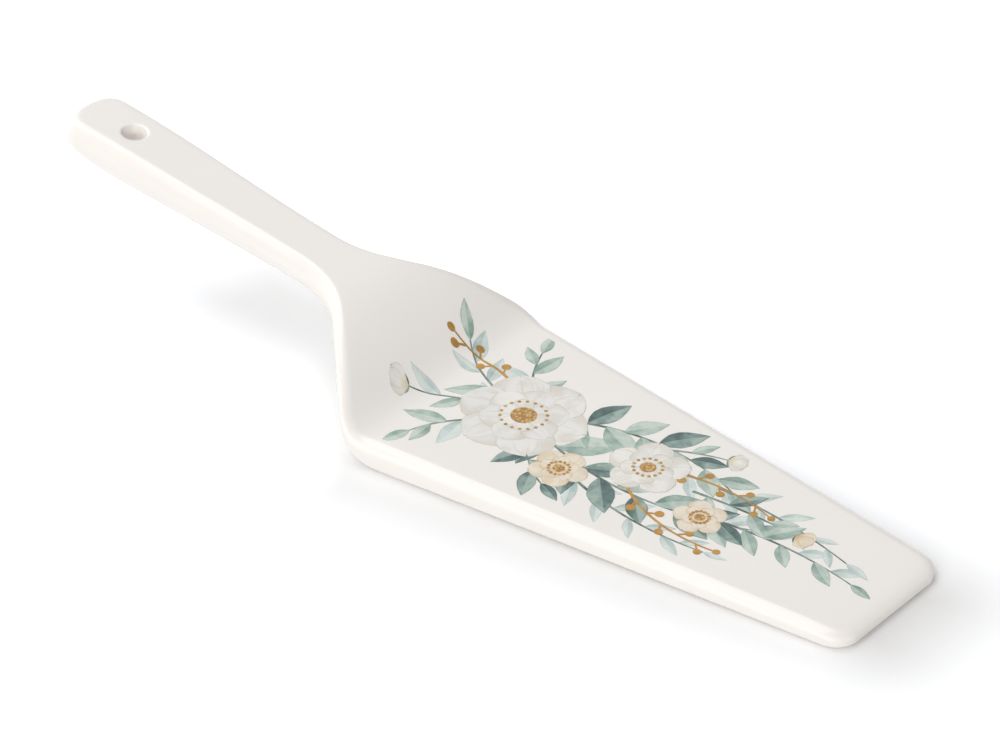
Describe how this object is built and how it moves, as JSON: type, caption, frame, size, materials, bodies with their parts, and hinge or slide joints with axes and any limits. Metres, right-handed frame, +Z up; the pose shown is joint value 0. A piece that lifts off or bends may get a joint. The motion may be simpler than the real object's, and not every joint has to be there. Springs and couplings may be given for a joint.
{
  "type": "cake server",
  "caption": "One-piece glazed ceramic cake server with a flat tapering blade, a raised handle with a hanging hole, and a fired-on floral print.",
  "frame": {"origin": "middle of the server's length and width, on the surface that the blade rests on", "axes": "+X from the handle's end to the blade's tip, +Z up, so the handle's end is at -X and the decorated face looks up"},
  "size_m": [0.2652, 0.0726, 0.0396],
  "materials": {
    "glazed_body": "warm white transparent gloss glaze",
    "cream_enamel": "gloss, fired into the glaze",
    "blush_enamel": "gloss, fired into the glaze",
    "ochre_enamel": "gloss, fired into the glaze",
    "deep_teal_enamel": "gloss, fired into the glaze",
    "sage_enamel": "gloss, fired into the glaze",
    "pale_enamel": "gloss, fired into the glaze",
    "stem_enamel": "gloss, fired into the glaze",
    "fired_gold": "satin fired gold"
  },
  "bodies": {
    "root": {"handle": "glazed_body", "blade": "glazed_body", "cream_petal_print": "cream_enamel", "blush_petal_print": "blush_enamel", "stamen_print": "ochre_enamel", "deep_leaf_print": "deep_teal_enamel", "sage_leaf_print": "sage_enamel", "pale_leaf_print": "pale_enamel", "stem_print": "stem_enamel", "gold_print": "fired_gold"}
  },
  "joints": []
}
